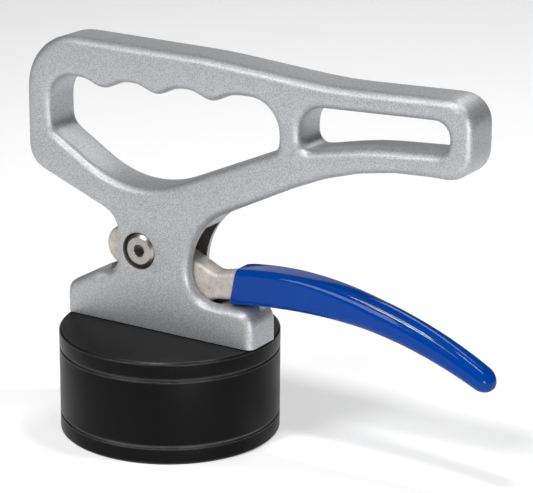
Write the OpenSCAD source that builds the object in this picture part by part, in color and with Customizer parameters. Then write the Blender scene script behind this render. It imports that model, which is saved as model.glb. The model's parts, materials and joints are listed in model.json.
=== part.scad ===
// Hand-held magnet holder for sheet and plate steel.
// A cast handle carries a round magnet housing. Squeezing the lever towards the tail bar turns its cam lobe
// down on a spring-loaded plunger, which pushes the steel off the magnet face.
// Origin: centre of the contact face. +X towards the tail bar, +Z up.

/* [Magnet housing] */
// Diameter of the housing
housing_d = 76; // [68:1:92]
// Height of the housing
housing_h = 36; // [34:1:46]
// Wall of the housing
housing_wall = 3.5; // [2.5:0.1:5]
// Thickness of the housing's closed top
housing_top_t = 10; // [9:0.5:12]
// Chamfer on the top edge
top_chamfer = 0.7; // [0.3:0.1:1.5]
// Distance of each fine groove from its end of the housing
groove_inset = 6; // [4.5:0.5:7]
// Width of the fine grooves
groove_w = 0.8; // [0.4:0.1:1.2]
// Depth of the fine grooves
groove_depth = 0.6; // [0.3:0.1:0.9]

/* [Magnet stack] */
// Diameter of a magnet disc
magnet_d = 16; // [12:0.5:18]
// Thickness of a pole shoe
shoe_t = 7.5; // [5:0.5:8.5]
// Thickness of the steel back plate
back_plate_t = 7; // [6.5:0.5:9]
// Thickness of the wear disc on the contact face
face_plate_t = 1.5; // [1:0.1:2.5]
// Metal between neighbouring pockets and holes
stack_web = 1; // [0.6:0.1:2]
// Metal between the pockets and the rim
stack_rim = 2.5; // [1.5:0.1:4]

/* [Handle] */
// Thickness of the handle
handle_t = 16.5; // [15:0.5:22]
// Height of the grip bar's top above the foot
handle_h = 98.3; // [94:0.1:118]
// Reach of the grip to the left of the housing's axis
grip_reach = 53.7; // [50:0.1:70]
// Reach of the tail bar to the right of the housing's axis
tail_reach = 116.3; // [112:0.1:140]
// Height of the foot at its right end
foot_h = 13.2; // [11:0.1:16]
// Left side of the neck, from the housing's axis
neck_left = 16.6; // [15:0.1:20]
// Right side of the neck, from the housing's axis
neck_right = 12; // [11:0.1:16]
// Gap between the lever and each side of its slot
slot_side_gap = 0.5; // [0.4:0.1:0.6]
// Number of finger scallops
scallops = 3; // [2:1:3]
// Pitch of the finger scallops
scallop_pitch = 21.6; // [18:0.1:22]
// Depth of the finger scallops
scallop_depth = 3; // [1:0.1:4]

/* [Lever] */
// Pivot's distance to the left of the housing's axis
pivot_left = 7.1; // [6:0.1:9]
// Pivot's height above the foot's top
pivot_rise = 14.2; // [11.8:0.1:17]
// Thickness of the lever
lever_t = 7.6; // [6:0.1:9.2]
// Radius of the lever's boss
boss_r = 7.6; // [7:0.1:8]
// Radius of the cam lobe
lobe_r = 7.1; // [6:0.1:7.4]
// Distance from the pivot to the lobe's centre
lobe_arm = 9.5; // [8.5:0.1:10]
// Drop of the lobe's centre below the pivot
lobe_drop = 1; // [0:0.1:2]
// Reach of the lever's tip from the housing's axis
lever_reach = 124.8; // [110:0.1:150]
// Depth of the grip at its crown
grip_depth = 12.3; // [10.5:0.1:14.5]
// Depth of the grip at its tip
tip_depth = 6.2; // [5.5:0.1:7.4]
// Drop of the grip's top from its crown to its tip
lever_drop = 22; // [16:0.5:26]
// Thickness of the vinyl grip, side to side
grip_t = 11; // [10:0.1:14]
// Wall of the vinyl grip above and below the steel
grip_wall = 1.3; // [0.8:0.1:2]

/* [Pivot] */
// Diameter of the pivot barrel
barrel_d = 8.5; // [7.5:0.1:9]
// Diameter of the pivot screw's thread
pivot_thread_d = 6; // [5:0.5:6]
// Diameter of the two pivot heads
pivot_head_d = 11.6; // [10.5:0.1:12.5]
// Thickness of the two pivot heads
pivot_head_t = 2.1; // [1.5:0.1:2.4]
// Size of the hexagon socket across its flats
pivot_hex = 4; // [3:0.5:4]
// Wall of the pivot bush
bush_wall = 1.2; // [0.8:0.1:1.5]

/* [Plunger] */
// Travel of the plunger
plunger_travel = 4.2; // [3:0.1:4.5]
// Diameter of the plunger rod
rod_d = 5; // [4:0.1:5.4]
// Diameter of the plunger's tip
tip_d = 8; // [6:0.1:9]
// Length of the plunger's tip
tip_h = 7; // [5:0.5:8]
// Length of the plunger's head along the slot
head_w = 10.2; // [9:0.1:11]
// Height of the plunger's head
head_h = 4.6; // [4:0.1:5]
// Room left under the plunger's head at the end of its travel
floor_room = 1.05; // [0.5:0.05:1.5]
// Wire diameter of the return spring
spring_wire = 1; // [0.7:0.1:1.1]
// Outside diameter of the return spring
spring_d = 8.4; // [7.8:0.1:8.6]
// Working turns of the return spring
spring_turns = 4.5; // [3.5:0.5:5.5]

/* [Fasteners] */
// Thread diameter of the foot screws
foot_screw_d = 6; // [5:0.5:6]
// Thread diameter of the stack screws
stack_screw_d = 4; // [3:0.5:4]
// Diameter of the dowel pins
dowel_d = 4; // [3:0.5:5]

/* [Hidden] */
$fn = 96;

// Clearances
eps = 0.02;
running_fit = 0.03;
slide_gap = 0.15;
hole_gap = 0.4;
cut = 1;

// Housing
face_lip = 1.5;
housing_r = housing_d / 2;
cavity_r = housing_r - housing_wall;
cavity_top = housing_h - housing_top_t;
spigot_r = cavity_r + housing_wall / 2;
spigot_top = 2 * groove_inset;
seal_r = 0.85;
face_r = cavity_r - face_lip;
stack_r = cavity_r - 0.05;
back_plate_z = cavity_top - back_plate_t;
shoe_top = face_plate_t + shoe_t;

// Heights on the handle, above the foot's underside
slot_w = lever_t + 2 * slot_side_gap;
shoulder_h = foot_h + 4;
pivot_h = foot_h + pivot_rise;
slot_roof = pivot_h + boss_r + 1;
belly_h = slot_roof + 8.7;
left_flare_h = pivot_h + 10.3;
right_flare_h = pivot_h + 11;
grip_corner_h = pivot_h + 24.5;

// Plunger and its axis
plunger_x = -pivot_left - lobe_arm;
head_top = housing_h + pivot_h - lobe_drop - lobe_r - slide_gap;
head_bottom = head_top - head_h;
slot_floor = head_bottom - housing_h - plunger_travel - floor_room;
head_t = slot_w - 2 * hole_gap;
tip_bottom = 0.5;
rod_seat = 4;
head_cap = 1.5;
guide_wall = 2;
clip_lip = 2.25;
clip_groove_depth = 0.5;
clip_play = 0.1;
seal_wall = 2.5;
tip_top = tip_bottom + tip_h;
rod_bore_d = rod_d + 2 * running_fit;
tip_bore_d = tip_d + 2 * hole_gap;
bush_d = rod_d + 2 * guide_wall;
clip_t = 0.8;
clip_d = rod_d + 2 * clip_lip;
clip_groove_d = rod_d - 2 * clip_groove_depth;
clip_z = cavity_top - clip_t - clip_play;
clip_pocket_d = clip_d + 3 * hole_gap;
clip_pocket_h = plunger_travel + clip_t + 0.5;
spring_pocket_d = spring_d + 1;
spring_seat_z = housing_h + 2;
spring_seat_t = 0.8;
seal_h = 2;
seal_d = tip_d + 2 * seal_wall;

// Magnet ring: the discs fill the arc that the plunger leaves free
magnet_r = magnet_d / 2;
magnet_ring_r = cavity_r - stack_rim - magnet_r;
plunger_room = magnet_r + max(tip_bore_d, clip_pocket_d, seal_d) / 2 + stack_web;
screw_head_r = 0.92 * stack_screw_d;
screw_ring_r = magnet_ring_r + stack_screw_d;
screw_room = magnet_r + screw_head_r + stack_web;
first_angle = triangle_angle(magnet_ring_r, -plunger_x, plunger_room);
least_step = 2 * triangle_angle(magnet_ring_r, screw_ring_r, screw_room);
magnet_gaps = floor((360 - 2 * first_angle) / least_step);
magnet_step = (360 - 2 * first_angle) / magnet_gaps;
ring_spots = [for (i = [0 : magnet_gaps]) polar(magnet_ring_r, 180 + first_angle + i * magnet_step)];
magnet_spots = concat([[0, 0]], ring_spots);
screw_spots = [for (i = [1 : magnet_gaps]) if (i != (magnet_gaps + 1) / 2)
    polar(screw_ring_r, 180 + first_angle + (i - 0.5) * magnet_step)];
stack_screw_reach = 7;
stack_screw_top = cavity_top + stack_screw_reach;

// Foot fasteners
foot_half = housing_r;
foot_screw_inset = 8;
foot_screw_cover = 3.5;
foot_screw_x = foot_half - foot_screw_inset;
foot_screw_grip = foot_h - foot_screw_cover;
screw_head_h = 4;
washer_t = 1.4;
foot_head_d = 1.66 * foot_screw_d;
washer_d = foot_head_d;
foot_pocket_d = foot_head_d + 2 * hole_gap;
foot_socket_depth = 3;
foot_pocket_h = screw_head_h + washer_t + 0.2;
dowel_len = 12;
dowel_spots = [4, 16];

// Pivot
pivot = [-pivot_left, housing_h + pivot_h];
lobe = [pivot[0] - lobe_arm, pivot[1] - lobe_drop];
pivot_bevel = 1.1;
pivot_socket_depth = 3.5;
pivot_recess_d = pivot_head_d + 0.9;
pivot_recess_t = pivot_head_t + 0.1;
pivot_face = handle_t / 2 - 0.1;
pivot_seat = handle_t / 2 - pivot_recess_t;
thrust_play = 0.1;
thrust_t = (slot_w - lever_t) / 2 - thrust_play;
thrust_d = 2 * boss_r - 1;
bush_bore_d = barrel_d + 2 * running_fit;
bush_outer_d = bush_bore_d + 2 * bush_wall;
barrel_end_wall = 1.5;
barrel_bore_depth = handle_t - 2 * pivot_recess_t - barrel_end_wall;

// Lever profile: two long arcs bound the grip
foot_clear = 2.4;
grip_start = neck_right + 17.5;
grip_lean = 2.4;
tip_round = 2.4;
core_end_wall = 3;
top_centre_x = grip_start + 20.5;
under_centre_x = grip_start + 23.5;
under_crown = housing_h + foot_h + foot_clear;
top_crown = under_crown + grip_depth;
top_arc_r = arc_radius(lever_reach - top_centre_x, lever_drop);
under_arc_r = arc_radius(lever_reach - tip_round - under_centre_x, lever_drop + tip_depth - grip_depth);
under_start = grip_start - grip_lean;
core_top = [grip_start, arc_z(grip_start, top_centre_x, top_crown - grip_wall, top_arc_r - grip_wall)];
core_under = [under_start, arc_z(under_start, under_centre_x, under_crown + grip_wall, under_arc_r + grip_wall)];

function polar(r, a) = [r * cos(a), r * sin(a)];
function triangle_angle(a, b, c) = acos(min(1, max(-1, (a * a + b * b - c * c) / (2 * a * b))));
function unit(v) = v / norm(v);
function flat(p) = [p[0], p[1]];
function half_angle(before, at, after) = acos(unit(flat(before) - flat(at)) * unit(flat(after) - flat(at))) / 2;

// Radius of an arc that falls by a drop over a run from its crown
function arc_radius(run, drop) = (run * run + drop * drop) / (2 * drop);

// Length that a corner's rounding takes from each of its two sides
function rounding_run(c, i) = let (n = len(c))
    c[i][2] == 0 ? 0 : c[i][2] / tan(half_angle(c[(i + n - 1) % n], c[i], c[(i + 1) % n]));

// Share of two neighbouring roundings that the side between them has room for
function side_share(c, i, j) = let (runs = rounding_run(c, i) + rounding_run(c, j))
    runs == 0 ? 1 : min(1, norm(flat(c[i]) - flat(c[j])) / runs);

// Points of one rounded corner of an outline, from the corner before to the corner after
function corner_arc(before, at, after, r) =
    let (a = unit(flat(before) - flat(at)),
         b = unit(flat(after) - flat(at)),
         half = half_angle(before, at, after),
         centre = flat(at) + unit(a + b) * r / sin(half),
         start = flat(at) + a * r / tan(half) - centre,
         turn = 180 - 2 * half,
         way = (a[0] * b[1] - a[1] * b[0]) > 0 ? -1 : 1,
         steps = max(2, ceil(turn / 7)),
         from = atan2(start[1], start[0]))
    [for (i = [0 : steps]) centre + polar(r, from + way * turn * i / steps)];

// A closed outline from corners given as [x, z, radius]
function rounded(c) = [for (i = [0 : len(c) - 1])
    let (n = len(c), p = (i + n - 1) % n, q = (i + 1) % n,
         r = c[i][2] * min(side_share(c, p, i), side_share(c, i, q)))
    each (r > 0 ? corner_arc(c[p], c[i], c[q], r) : [flat(c[i])])];

function arc_z(x, centre_x, crown, r) = crown - r + sqrt(r * r - pow(x - centre_x, 2));

// Finger scallops: a row of narrow bumps between wide hollows, on a line that climbs a little
side_bar = 9.7;
grip_left = -grip_reach + side_bar;
scallop_climb = 0.0355;
scallop_line = handle_h - 13.1;
scallop_from = grip_left + 11;
scallop_to = scallop_from + scallops * scallop_pitch;
first_bump = scallop_from + scallop_pitch / 2;
grip_right = scallop_to + 15.2;
scallop_steps = 12 * scallops;
function scallop_z(x) = scallop_line + scallop_climb * x
    - scallop_depth * pow(pow(cos(180 * (x - first_bump) / scallop_pitch), 2), 1.6);
scallop_edge = [for (i = [0 : scallop_steps])
    let (x = scallop_from + i * (scallop_to - scallop_from) / scallop_steps) [x, scallop_z(x), 0]];

// Outer outline of the handle, from the foot's lower left corner round the grip and the tail
back_start = grip_right - 27;
waist = grip_right + 19;
handle_corners = [
    [-foot_half, 0, 0], [-foot_half, foot_h - 2.8, 4],
    [-neck_left - 8.9, shoulder_h, 6], [-neck_left, shoulder_h, 6.5],
    [-neck_left, left_flare_h, 8.7], [-grip_reach, grip_corner_h, 9],
    [-grip_reach, handle_h, 20], [back_start, handle_h - 0.7, 200], [waist, handle_h - 4, 150],
    [tail_reach, handle_h - 2.1, 9], [tail_reach, handle_h - 28.4, 8.5],
    [waist + 9.8, handle_h - 28.2, 110], [neck_right, right_flare_h, 24.5],
    [neck_right, foot_h, 9.7], [foot_half, foot_h, 5.5], [foot_half, 0, 0]];

// Opening of the D grip: a straight left side, the scallops, a round right end and a deep belly
grip_corners = concat(
    [[grip_left, grip_corner_h + 12.8, 5.5], [grip_left, scallop_z(scallop_from), 9]],
    scallop_edge,
    [[grip_right, handle_h - 11.4, 11], [grip_right, handle_h - 28.1, 4.2], [grip_left + 33.2, belly_h, 39]]);

// Opening of the tail bar
web = 7.7;
tail_wall = 8.1;
tail_corners = [
    [grip_right + web, handle_h - 12.1, 8], [tail_reach - tail_wall, handle_h - 9.8, 5],
    [tail_reach - tail_wall, handle_h - 20, 4.2], [waist + 12, handle_h - 22.1, 100],
    [grip_right + web, handle_h - 27.1, 3.5]];

// Slot for the lever and the plunger's head, open to both sides of the neck
slot_left = plunger_x - head_w / 2 - hole_gap;
slot_corners = [
    [slot_left, slot_floor], [slot_left, shoulder_h + 0.4], [slot_left - 12, shoulder_h + 0.4],
    [slot_left - 12, slot_roof], [8, slot_roof], [neck_right + 24, slot_roof + 8],
    [neck_right + 24, foot_h + 3], [neck_right + 12, foot_h + 0.2], [neck_right + 6, slot_floor]];

// Profile turned upright: drawn in X and Z, and centred on the handle's middle plane
module upright(thickness) {
    translate([0, thickness / 2, 0]) rotate([90, 0, 0]) linear_extrude(thickness) children();
}

module across(x, z, d, from, to) {
    translate([x, to, z]) rotate([90, 0, 0]) cylinder(d = d, h = to - from);
}

module post(p, d, from, to) {
    translate([p[0], p[1], from]) cylinder(d = d, h = to - from);
}

module handle_frame() {
    color([0.69, 0.70, 0.71]) difference() {
        translate([0, 0, housing_h]) difference() {
            upright(handle_t) polygon(rounded(handle_corners));
            upright(handle_t + 2 * cut) polygon(rounded(grip_corners));
            upright(handle_t + 2 * cut) polygon(rounded(tail_corners));
            upright(slot_w) polygon(slot_corners);
        }
        across(pivot[0], pivot[1], bush_bore_d, -handle_t, handle_t);
        across(pivot[0], pivot[1], pivot_recess_d, -handle_t, -pivot_seat);
        across(pivot[0], pivot[1], pivot_recess_d, pivot_seat, handle_t);
        post([plunger_x, 0], spring_pocket_d, spring_seat_z, housing_h + slot_floor + cut);
        post([plunger_x, 0], bush_d + 0.6, housing_h - cut, spring_seat_z + cut);
        for (side = [-1, 1])
            post([side * foot_screw_x, 0], foot_screw_d + 2 * eps, housing_h - cut, housing_h + foot_screw_grip);
        for (x = dowel_spots)
            post([x, 0], dowel_d + 2 * eps, housing_h - cut, housing_h + dowel_len / 2 + 0.2);
    }
}

module housing_shell() {
    color([0.09, 0.09, 0.10]) difference() {
        rotate_extrude() polygon([
            [0, cavity_top], [cavity_r, cavity_top], [cavity_r, spigot_top + 2 * seal_r],
            [spigot_r + eps, spigot_top + 2 * seal_r], [spigot_r + eps, groove_inset],
            [housing_r - groove_depth, groove_inset], [housing_r - groove_depth, groove_inset + groove_w / 2],
            [housing_r, groove_inset + groove_w / 2],
            [housing_r, housing_h - groove_inset - groove_w],
            [housing_r - groove_depth, housing_h - groove_inset - groove_w],
            [housing_r - groove_depth, housing_h - groove_inset], [housing_r, housing_h - groove_inset],
            [housing_r, housing_h - top_chamfer], [housing_r - top_chamfer, housing_h], [0, housing_h]]);
        post([plunger_x, 0], bush_d + 2 * eps, cavity_top - cut, housing_h + cut);
        for (side = [-1, 1]) {
            post([side * foot_screw_x, 0], foot_screw_d + hole_gap, cavity_top - cut, housing_h + cut);
            post([side * foot_screw_x, 0], foot_pocket_d, cavity_top - cut, cavity_top + foot_pocket_h);
        }
        for (x = dowel_spots)
            post([x, 0], dowel_d + 2 * eps, housing_h - dowel_len / 2, housing_h + cut);
        for (p = screw_spots)
            post(p, stack_screw_d + 2 * eps, cavity_top - cut, stack_screw_top + 0.3);
    }
}

module base_ring() {
    color([0.09, 0.09, 0.10]) rotate_extrude() polygon([
        [face_r + eps, 0], [housing_r - 0.3, 0], [housing_r, 0.3], [housing_r, groove_inset - groove_w / 2],
        [housing_r - groove_depth, groove_inset - groove_w / 2],
        [housing_r - groove_depth, groove_inset - eps], [spigot_r, groove_inset - eps],
        [spigot_r, spigot_top], [cavity_r, spigot_top], [cavity_r, face_plate_t], [face_r + eps, face_plate_t]]);
}

module face_plate() {
    color([0.62, 0.62, 0.63]) difference() {
        cylinder(r = face_r, h = face_plate_t);
        post([plunger_x, 0], tip_bore_d, -cut, face_plate_t + cut);
    }
}

module back_plate() {
    color([0.45, 0.45, 0.47]) difference() {
        translate([0, 0, back_plate_z]) cylinder(r = stack_r, h = back_plate_t);
        post([plunger_x, 0], rod_d + 2 * hole_gap, back_plate_z - cut, cavity_top + cut);
        post([plunger_x, 0], clip_pocket_d, cavity_top - clip_pocket_h, cavity_top + cut);
        for (p = screw_spots)
            post(p, stack_screw_d + hole_gap, back_plate_z - cut, cavity_top + cut);
    }
}

module magnet_holder() {
    color([0.75, 0.76, 0.78]) difference() {
        translate([0, 0, face_plate_t]) cylinder(r = stack_r, h = back_plate_z - face_plate_t);
        for (p = magnet_spots)
            post(p, magnet_d + 2 * eps, face_plate_t - cut, back_plate_z + cut);
        post([plunger_x, 0], tip_bore_d, face_plate_t - cut, back_plate_z + cut);
        post([plunger_x, 0], seal_d, face_plate_t - cut, face_plate_t + seal_h);
        for (p = screw_spots) {
            post(p, stack_screw_d + hole_gap, face_plate_t - cut, back_plate_z + cut);
            post(p, 2 * screw_head_r + hole_gap, face_plate_t - cut, face_plate_t + stack_screw_d);
        }
    }
}

module magnets() {
    color([0.80, 0.80, 0.82]) for (p = magnet_spots)
        post(p, magnet_d, shoe_top, back_plate_z);
}

module pole_shoes() {
    color([0.50, 0.50, 0.52]) for (p = magnet_spots)
        post(p, magnet_d, face_plate_t, shoe_top);
}

module stack_screws() {
    color([0.20, 0.20, 0.21]) for (p = screw_spots) {
        difference() {
            union() {
                post(p, stack_screw_d, face_plate_t + stack_screw_d, stack_screw_top);
                post(p, 2 * screw_head_r, face_plate_t + 0.2, face_plate_t + stack_screw_d);
            }
            translate([p[0], p[1], face_plate_t]) cylinder(d = 0.8 * stack_screw_d, h = 0.6 * stack_screw_d, $fn = 6);
        }
    }
}

module foot_screws() {
    head_z = cavity_top + foot_pocket_h - washer_t - screw_head_h;
    color([0.20, 0.20, 0.21]) for (side = [-1, 1]) difference() {
        union() {
            post([side * foot_screw_x, 0], foot_screw_d, head_z, housing_h + foot_screw_grip - 1);
            post([side * foot_screw_x, 0], foot_head_d, head_z, head_z + screw_head_h);
        }
        translate([side * foot_screw_x, 0, head_z - cut])
            cylinder(d = 0.9 * foot_screw_d, h = foot_socket_depth + cut, $fn = 6);
    }
}

module lock_washers() {
    washer_z = cavity_top + foot_pocket_h - washer_t;
    color([0.60, 0.60, 0.62]) for (side = [-1, 1]) difference() {
        post([side * foot_screw_x, 0], washer_d, washer_z, washer_z + washer_t);
        post([side * foot_screw_x, 0], foot_screw_d + 2 * eps, washer_z - cut, washer_z + washer_t + cut);
        translate([side * (foot_screw_x + washer_d / 4), 0, washer_z + washer_t / 2])
            cube([washer_d / 2 + cut, 0.8, washer_t + cut], center = true);
    }
}

module dowel_pins() {
    color([0.65, 0.65, 0.67]) for (x = dowel_spots)
        post([x, 0], dowel_d, housing_h - dowel_len / 2, housing_h + dowel_len / 2);
}

module o_ring() {
    color([0.05, 0.05, 0.05]) translate([0, 0, spigot_top + seal_r])
        rotate_extrude() translate([(cavity_r + spigot_r) / 2, 0]) circle(r = seal_r - eps);
}

module wiper_seal() {
    color([0.05, 0.05, 0.05]) difference() {
        post([plunger_x, 0], seal_d - 2 * eps, face_plate_t, face_plate_t + seal_h);
        post([plunger_x, 0], tip_d + 2 * slide_gap, 0, face_plate_t + seal_h + cut);
    }
}

module guide_bush() {
    color([0.72, 0.55, 0.30]) difference() {
        post([plunger_x, 0], bush_d, cavity_top, spring_seat_z);
        post([plunger_x, 0], rod_bore_d, cavity_top - cut, spring_seat_z + cut);
    }
}

module spring_seat() {
    color([0.70, 0.70, 0.72]) difference() {
        post([plunger_x, 0], spring_d, spring_seat_z, spring_seat_z + spring_seat_t);
        post([plunger_x, 0], rod_d + hole_gap, spring_seat_z - cut, spring_seat_z + spring_seat_t + cut);
    }
}

// Return spring: one round wire wound as a helix, with a closed turn at each end
module plunger_spring() {
    sides = 8;
    per_turn = 20;
    r = (spring_d - spring_wire) / 2;
    low = spring_seat_z + spring_seat_t + spring_wire / 2 + eps;
    high = head_bottom - spring_wire / 2 - eps;
    steps = per_turn * (spring_turns + 2);
    function wire_z(i) = let (t = i / per_turn)
        t < 1 ? low : t > spring_turns + 1 ? high : low + (high - low) * (t - 1) / spring_turns;
    function ring_start(i) = i * sides;
    points = [for (i = [0 : steps]) let (a = 360 * i / per_turn, tail = min(1, i / per_turn, (steps - i) / per_turn))
        for (k = [0 : sides - 1]) let (w = (spring_wire / 2 - eps) * (0.7 + 0.3 * tail), b = 360 * k / sides)
            [(r + w * cos(b)) * cos(a), (r + w * cos(b)) * sin(a),
             wire_z(i) + w * sin(b)]];
    walls = [for (i = [0 : steps - 1]) for (k = [0 : sides - 1])
        let (a = ring_start(i), b = ring_start(i + 1), n = (k + 1) % sides)
        each [[a + k, a + n, b + n], [a + k, b + n, b + k]]];
    ends = [[for (k = [sides - 1 : -1 : 0]) k], [for (k = [0 : sides - 1]) ring_start(steps) + k]];
    color([0.70, 0.70, 0.72]) translate([plunger_x, 0, 0]) polyhedron(points, concat(walls, ends));
}

module plunger_head() {
    color([0.55, 0.52, 0.50]) difference() {
        translate([plunger_x - head_w / 2, -head_t / 2, head_bottom]) cube([head_w, head_t, head_h]);
        post([plunger_x, 0], rod_d + 2 * eps, head_bottom - cut, head_top - head_cap);
    }
}

module plunger_rod() {
    color([0.70, 0.70, 0.72]) difference() {
        post([plunger_x, 0], rod_d, tip_top - rod_seat, head_top - head_cap - clip_play);
        difference() {
            post([plunger_x, 0], rod_d + cut, clip_z, clip_z + clip_t);
            post([plunger_x, 0], clip_groove_d, clip_z - cut, clip_z + clip_t + cut);
        }
    }
}

module plunger_tip() {
    color([0.30, 0.30, 0.31]) difference() {
        post([plunger_x, 0], tip_d, tip_bottom, tip_top);
        post([plunger_x, 0], rod_d + 2 * eps, tip_top - rod_seat - eps, tip_top + cut);
    }
}

module retaining_clip() {
    color([0.15, 0.15, 0.16]) difference() {
        post([plunger_x, 0], clip_d, clip_z + eps, clip_z + clip_t - eps);
        post([plunger_x, 0], clip_groove_d + 2 * eps, clip_z - cut, clip_z + clip_t + cut);
        translate([plunger_x, -clip_groove_d / 2 + 0.3, clip_z - cut])
            cube([clip_d, clip_groove_d - 0.6, clip_t + 2 * cut]);
    }
}

module pivot_screw() {
    color([0.78, 0.77, 0.75]) translate([pivot[0], 0, pivot[1]]) rotate([90, 0, 0]) difference() {
        union() {
            rotate_extrude() polygon([
                [0, pivot_seat], [pivot_head_d / 2, pivot_seat], [pivot_head_d / 2, pivot_face - pivot_bevel],
                [pivot_head_d / 2 - pivot_bevel, pivot_face], [0, pivot_face]]);
            translate([0, 0, pivot_seat - barrel_bore_depth + 1]) cylinder(d = pivot_thread_d, h = barrel_bore_depth);
        }
        translate([0, 0, pivot_face - pivot_socket_depth])
            cylinder(d = pivot_hex / cos(30), h = pivot_socket_depth + cut, $fn = 6);
    }
}

module pivot_barrel() {
    color([0.78, 0.77, 0.75]) translate([pivot[0], 0, pivot[1]]) rotate([-90, 0, 0]) difference() {
        union() {
            rotate_extrude() polygon([
                [0, pivot_seat], [pivot_head_d / 2, pivot_seat], [pivot_head_d / 2, pivot_face - pivot_bevel],
                [pivot_head_d / 2 - pivot_bevel, pivot_face], [0, pivot_face]]);
            translate([0, 0, -pivot_seat + eps]) cylinder(d = barrel_d, h = 2 * pivot_seat);
        }
        translate([0, 0, -pivot_seat - cut])
            cylinder(d = pivot_thread_d + 2 * eps, h = barrel_bore_depth + cut);
    }
}

module pivot_bush() {
    color([0.72, 0.55, 0.30]) difference() {
        across(pivot[0], pivot[1], bush_outer_d, -lever_t / 2, lever_t / 2);
        across(pivot[0], pivot[1], bush_bore_d, -lever_t, lever_t);
    }
}

module thrust_washers() {
    color([0.70, 0.70, 0.72]) for (side = [-1, 1]) {
        low = side > 0 ? slot_w / 2 - thrust_t : -slot_w / 2;
        difference() {
            across(pivot[0], pivot[1], thrust_d, low, low + thrust_t);
            across(pivot[0], pivot[1], bush_bore_d, low - cut, low + thrust_t + cut);
        }
    }
}

// Lever between its two long arcs, drawn in by a margin
function lever_band(start_top, start_under, end, margin) = concat(
    [for (i = [0 : 24]) let (x = start_top + (end - start_top) * i / 24)
        [x, arc_z(x, top_centre_x, top_crown - margin, top_arc_r - margin)]],
    [for (i = [24 : -1 : 0]) let (x = start_under + (end - tip_round - start_under) * i / 24)
        [x, arc_z(x, under_centre_x, under_crown + margin, under_arc_r + margin)]]);

module lever_arm() {
    heel_z = housing_h + slot_floor + slide_gap;
    color([0.66, 0.63, 0.60]) difference() {
        union() {
            across(lobe[0], lobe[1], 2 * lobe_r, -lever_t / 2, lever_t / 2);
            across(pivot[0], pivot[1], 2 * boss_r, -lever_t / 2, lever_t / 2);
            upright(lever_t) polygon([[lobe[0], lobe[1] + lobe_r], [pivot[0], pivot[1] + boss_r],
                [pivot[0], pivot[1] - boss_r], [lobe[0], lobe[1] - lobe_r]]);
            upright(lever_t) polygon(concat(
                lever_band(grip_start, under_start, lever_reach - core_end_wall, grip_wall),
                rounded([[core_under[0], core_under[1], 0], [grip_start - 9, housing_h + foot_h + 0.8, 3],
                    [neck_right + 2, heel_z, 2], [neck_right - 3, heel_z, 3],
                    [pivot[0] + 3, pivot[1] - boss_r + 0.9, 0], [pivot[0], pivot[1], 0],
                    [pivot[0], pivot[1] + boss_r - 0.1, 0], [pivot[0] + 3.4, pivot[1] + boss_r - 0.8, 3],
                    [grip_start - 9.3, top_crown - 5, 5], [core_top[0], core_top[1], 0]])));
        }
        across(pivot[0], pivot[1], bush_outer_d + 2 * eps, -lever_t, lever_t);
    }
}

module lever_grip() {
    color([0.0, 0.26, 0.59]) difference() {
        upright(grip_t) polygon(lever_band(grip_start, under_start, lever_reach, 0));
        upright(lever_t) polygon(concat(
            [core_top - [cut, 0]],
            lever_band(grip_start, under_start, lever_reach - core_end_wall, grip_wall),
            [core_under - [cut, 0]]));
    }
}

handle_frame();
housing_shell();
base_ring();
face_plate();
back_plate();
magnet_holder();
magnets();
pole_shoes();
stack_screws();
foot_screws();
lock_washers();
dowel_pins();
o_ring();
wiper_seal();
guide_bush();
spring_seat();
plunger_spring();
plunger_head();
plunger_rod();
plunger_tip();
retaining_clip();
pivot_screw();
pivot_barrel();
pivot_bush();
thrust_washers();
lever_arm();
lever_grip();
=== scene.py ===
"""Looks of a hand-held magnet holder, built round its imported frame: one operator for each group of pieces."""

import json
import math

import bmesh
import bpy
from mathutils import Matrix, Vector


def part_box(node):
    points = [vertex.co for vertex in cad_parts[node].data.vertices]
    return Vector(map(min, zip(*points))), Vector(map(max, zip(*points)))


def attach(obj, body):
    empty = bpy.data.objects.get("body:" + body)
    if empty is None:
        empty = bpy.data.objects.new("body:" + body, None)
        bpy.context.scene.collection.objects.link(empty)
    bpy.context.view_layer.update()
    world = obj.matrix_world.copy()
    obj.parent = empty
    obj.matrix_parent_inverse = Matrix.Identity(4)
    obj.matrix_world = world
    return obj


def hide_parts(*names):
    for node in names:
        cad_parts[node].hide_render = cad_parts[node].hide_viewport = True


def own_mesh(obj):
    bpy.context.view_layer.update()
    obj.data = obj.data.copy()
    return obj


bl_info = {
    "name": "Magnet Holder Looks",
    "version": (1, 0, 0),
    "blender": (4, 5, 0),
    "location": "3D View > Sidebar > Magnet Holder",
    "description": "Builds the finished surfaces of a hand-held magnet holder round its frame",
    "category": "Add Mesh",
}

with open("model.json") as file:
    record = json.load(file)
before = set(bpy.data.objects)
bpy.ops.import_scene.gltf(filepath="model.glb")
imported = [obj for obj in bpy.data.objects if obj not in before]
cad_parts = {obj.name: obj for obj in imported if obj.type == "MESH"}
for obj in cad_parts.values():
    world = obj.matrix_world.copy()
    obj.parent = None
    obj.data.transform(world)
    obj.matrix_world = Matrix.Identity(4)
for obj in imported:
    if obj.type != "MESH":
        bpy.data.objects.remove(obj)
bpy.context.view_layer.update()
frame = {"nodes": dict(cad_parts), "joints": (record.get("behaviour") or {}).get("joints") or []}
NODES = frame["nodes"]

MM = 0.001
PIVOT = Vector(frame["joints"][0]["pos_m"])
HANDLE_LOW, HANDLE_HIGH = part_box("handle_frame")
SHELL_LOW, SHELL_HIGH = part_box("housing_shell")
RING_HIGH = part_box("base_ring")[1]
HEAD_LOW, HEAD_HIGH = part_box("plunger_head")
LEVER_LOW, LEVER_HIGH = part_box("lever_arm")
GRIP_LOW, GRIP_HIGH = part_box("lever_grip")
SCREW_LOW, SCREW_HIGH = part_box("pivot_screw")

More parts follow.
